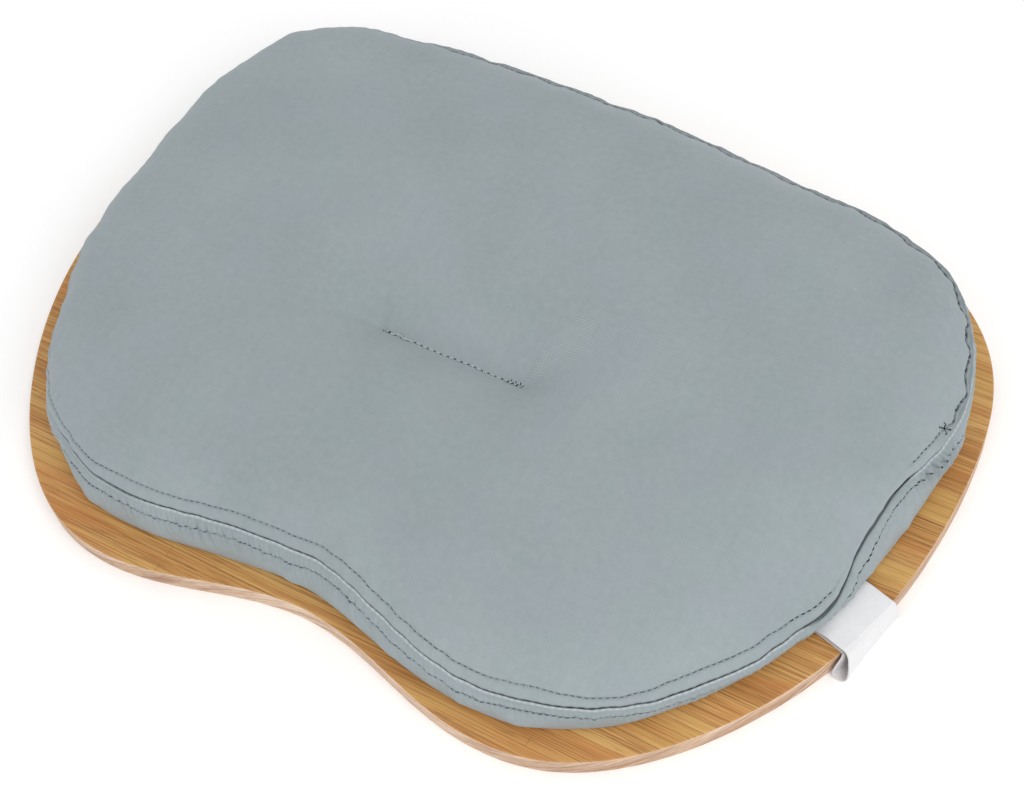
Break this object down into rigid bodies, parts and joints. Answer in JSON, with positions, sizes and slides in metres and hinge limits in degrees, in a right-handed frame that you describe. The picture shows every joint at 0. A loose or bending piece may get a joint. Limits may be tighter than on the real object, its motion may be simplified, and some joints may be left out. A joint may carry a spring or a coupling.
{
  "type": "lap desk",
  "caption": "Kidney-shaped bamboo work board with a tufted fabric cushion on its back and a short elastic carry loop over its rim.",
  "frame": {"origin": "centre of the work face's outline, on the work face itself; the desk lies work face down with its cushion up, as it is stored and as the picture shows it", "axes": "+X along the long side towards the carry loop, +Y towards the straighter back edge, +Z from the work face towards the cushion"},
  "size_m": [0.46, 0.3458, 0.0542],
  "materials": {
    "bamboo": "satin lacquer over caramel bamboo strips",
    "cover_cloth": "fine plain weave, blue-grey",
    "cover_thread": "matte sewing thread",
    "white_elastic": "smooth woven elastic",
    "zinc_steel": "zinc plated",
    "hook_and_loop": "dull nylon",
    "wadding": "soft white fibre",
    "foam": "open-cell foam"
  },
  "bodies": {
    "tray": {"tray_board": "bamboo", "hook_tapes": "hook_and_loop", "strap_fixed_ends": "white_elastic", "strap_clamp_plate": "zinc_steel", "clamp_screws": "zinc_steel"},
    "carry_loop": {"strap_loop": "white_elastic"},
    "cushion": {"cover_top_panel": "cover_cloth", "cover_side_band": "cover_cloth", "cover_base_panel": "cover_cloth", "seam_allowance": "cover_cloth", "upper_topstitch": "cover_thread", "lower_topstitch": "cover_thread", "base_seam_thread": "cover_thread", "tuft_stitch": "cover_thread", "tuft_bartacks": "cover_thread", "tuft_ties": "cover_thread", "wadding_sheet": "wadding", "foam_core": "foam", "loop_tapes": "hook_and_loop", "loop_tape_thread": "cover_thread"}
  },
  "joints": [
    {"name": "cushion_lift", "type": "slide", "parent": "tray", "child": "cushion", "axis": [0, 0, 1], "range_m": [0, 0.06]},
    {"name": "strap_pull", "type": "slide", "parent": "tray", "child": "carry_loop", "axis": [0.9593, -0.2823, 0], "range_m": [0, 0.01], "stiffness_N_per_m": 300}
  ]
}
